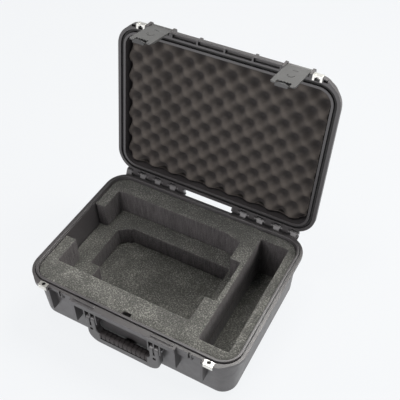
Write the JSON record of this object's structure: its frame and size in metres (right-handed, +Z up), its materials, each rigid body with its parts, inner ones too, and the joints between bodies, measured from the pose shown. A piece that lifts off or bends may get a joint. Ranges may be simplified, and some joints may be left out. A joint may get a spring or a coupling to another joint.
{
  "type": "hard equipment case",
  "caption": "Hinged hard equipment case with toggle latches, folding carry handle, cut foam inserts and a convoluted foam lid lining.",
  "frame": {"origin": "middle of the footprint, on the surface that the feet stand on", "axes": "+X along the case, -Y towards the handle and latches, +Y towards the hinge, +Z up; the lid stands open at rest"},
  "size_m": [0.52, 0.5041, 0.5534],
  "materials": {
    "shell": "fine moulded texture, charcoal",
    "cut_foam": "cut closed-cell foam, speckled charcoal",
    "lid_foam": "soft convoluted foam, dark charcoal",
    "seal": "black rubber",
    "handle": "satin moulded plastic",
    "grip": "soft ribbed rubber",
    "latch": "fine moulded texture",
    "trigger": "satin moulded plastic",
    "pin_steel": "plain stainless",
    "hasp_steel": "bright stainless"
  },
  "bodies": {
    "base": {"base_shell": "shell", "foam_upper": "cut_foam", "foam_lower": "cut_foam", "foam_floor_pad": "cut_foam", "hinge_pin_left": "pin_steel", "hinge_pin_right": "pin_steel", "handle_pin_left": "pin_steel", "handle_pin_right": "pin_steel", "base_hasp_left": "hasp_steel", "base_hasp_right": "hasp_steel", "base_rivets_left": "hasp_steel", "base_rivets_right": "hasp_steel", "valve_seal": "seal", "valve_body": "shell", "valve_cap": "latch"},
    "lid": {"lid_shell": "shell", "lid_gasket": "seal", "lid_foam": "lid_foam", "lid_hasp_left": "hasp_steel", "lid_hasp_right": "hasp_steel", "lid_rivets_left": "hasp_steel", "lid_rivets_right": "hasp_steel", "latch_pin_left": "pin_steel", "latch_pin_right": "pin_steel"},
    "handle": {"handle_frame": "handle", "handle_grip": "grip"},
    "latch_left": {"latch_body_left": "latch", "trigger_pin_left": "pin_steel", "trigger_spring_left": "pin_steel"},
    "latch_right": {"latch_body_right": "latch", "trigger_pin_right": "pin_steel", "trigger_spring_right": "pin_steel"},
    "trigger_left": {"latch_trigger_left": "trigger"},
    "trigger_right": {"latch_trigger_right": "trigger"}
  },
  "joints": [
    {"name": "lid_hinge", "type": "hinge", "parent": "base", "child": "lid", "pos_m": [0, 0.1974, 0.147], "axis": [1, 0, 0], "range_deg": [0, 99.2]},
    {"name": "handle_pivot", "type": "hinge", "parent": "base", "child": "handle", "pos_m": [0, -0.191, 0.104], "axis": [-1, 0, 0], "range_deg": [0, 95]},
    {"name": "latch_left_pivot", "type": "hinge", "parent": "lid", "child": "latch_left", "pos_m": [-0.158, 0.27324, 0.52767], "axis": [-1, 0, 0], "range_deg": [-3, 90]},
    {"name": "trigger_left_pivot", "type": "hinge", "parent": "latch_left", "child": "trigger_left", "pos_m": [-0.158, 0.1977, 0.54267], "axis": [-1, 0, 0], "range_deg": [0, 10], "stiffness_Nm_per_rad": 0.25, "springref_deg": -20.05},
    {"name": "latch_right_pivot", "type": "hinge", "parent": "lid", "child": "latch_right", "pos_m": [0.158, 0.27324, 0.52767], "axis": [-1, 0, 0], "range_deg": [-3, 90]},
    {"name": "trigger_right_pivot", "type": "hinge", "parent": "latch_right", "child": "trigger_right", "pos_m": [0.158, 0.1977, 0.54267], "axis": [-1, 0, 0], "range_deg": [0, 10], "stiffness_Nm_per_rad": 0.25, "springref_deg": -20.05}
  ]
}
